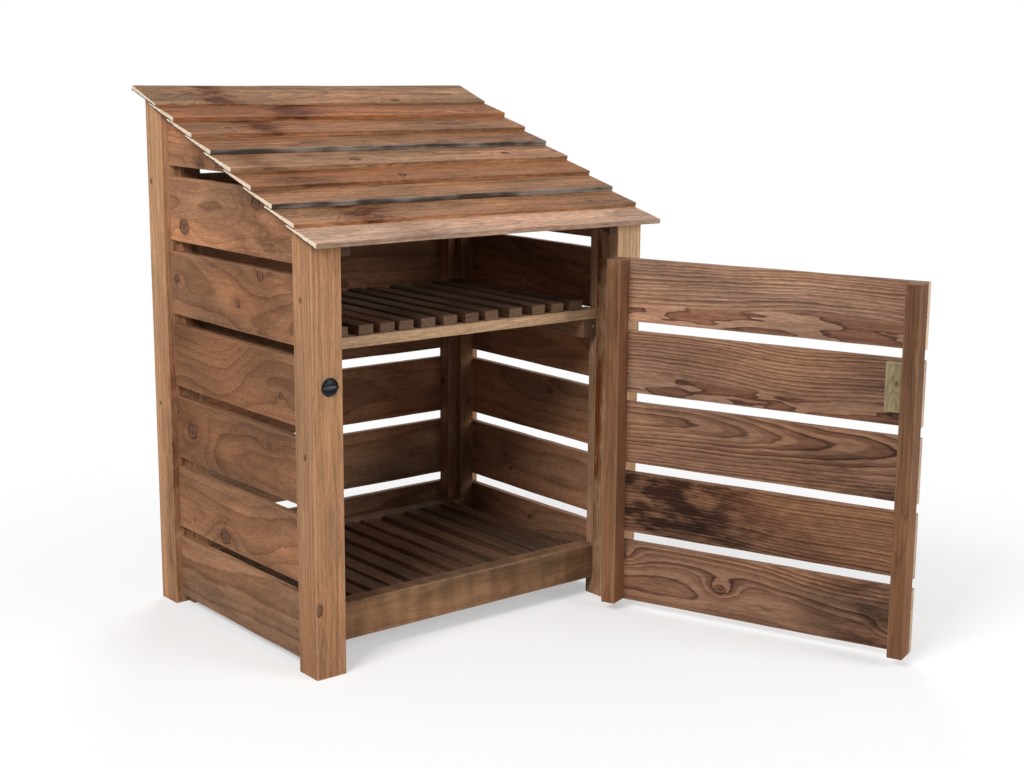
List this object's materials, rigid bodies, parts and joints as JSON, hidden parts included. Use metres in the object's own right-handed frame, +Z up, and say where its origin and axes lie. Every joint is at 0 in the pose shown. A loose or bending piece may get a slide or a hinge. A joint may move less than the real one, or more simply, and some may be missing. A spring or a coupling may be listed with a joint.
{
  "type": "log store",
  "caption": "Timber log store with slatted side and back walls, a lapped single-slope roof, a slatted kindling shelf and one inset boarded door on tee hinges.",
  "frame": {"origin": "bottom centre of the bounding box with the door open, on the ground", "axes": "+X to the right seen from the front, +Y to the back, +Z up"},
  "size_m": [1.1366, 1.5214, 1.2643],
  "materials": {
    "post_timber": "sawn, brown treated",
    "wall_timber": "sawn, brown treated",
    "roof_timber": "sawn, brown treated",
    "door_timber": "sawn, brown treated",
    "batten_timber": "sawn, brown treated",
    "rail_timber": "sawn, brown treated",
    "pale_timber": "sawn, green treated",
    "black_iron": "satin black"
  },
  "bodies": {
    "frame": {"back_boards": "wall_timber", "back_left_batten": "batten_timber", "back_right_batten": "batten_timber", "floor_slats": "batten_timber", "front_ledger": "batten_timber", "front_left_batten": "batten_timber", "front_left_post": "post_timber", "front_rail": "rail_timber", "front_right_batten": "batten_timber", "front_right_post": "post_timber", "latch_rose": "black_iron", "left_rafter": "batten_timber", "left_shelf_bearer": "batten_timber", "left_side_boards": "wall_timber", "lower_hinge_plate": "black_iron", "rear_ledger": "batten_timber", "rear_left_batten": "batten_timber", "rear_left_post": "post_timber", "rear_rail": "rail_timber", "rear_right_batten": "batten_timber", "rear_right_post": "post_timber", "right_rafter": "batten_timber", "right_shelf_bearer": "batten_timber", "right_side_boards": "wall_timber", "roof_board_1": "roof_timber", "roof_board_2": "roof_timber", "roof_board_3": "roof_timber", "roof_board_4": "roof_timber", "roof_board_5": "roof_timber", "roof_board_6": "roof_timber", "roof_board_7": "roof_timber", "roof_board_8": "roof_timber", "roof_board_9": "roof_timber", "shelf_front_rail": "batten_timber", "shelf_rear_rail": "batten_timber", "shelf_slats": "batten_timber", "upper_hinge_plate": "black_iron"},
    "door": {"door_boards": "door_timber", "door_hinge_stile": "door_timber", "door_latch_pad": "pale_timber", "door_latch_stile": "door_timber", "lower_hinge_strap": "black_iron", "upper_hinge_strap": "black_iron"},
    "latch": {"latch_turn": "black_iron"}
  },
  "joints": [
    {"name": "door_hinge", "type": "hinge", "parent": "frame", "child": "door", "pos_m": [0.30866, -0.00953, 0.4475], "axis": [0, 0, 1], "range_deg": [-110, 50]},
    {"name": "latch_pivot", "type": "hinge", "parent": "frame", "child": "latch", "pos_m": [-0.50934, -0.00853, 0.649], "axis": [0, 1, 0], "range_deg": [0, 90]}
  ]
}
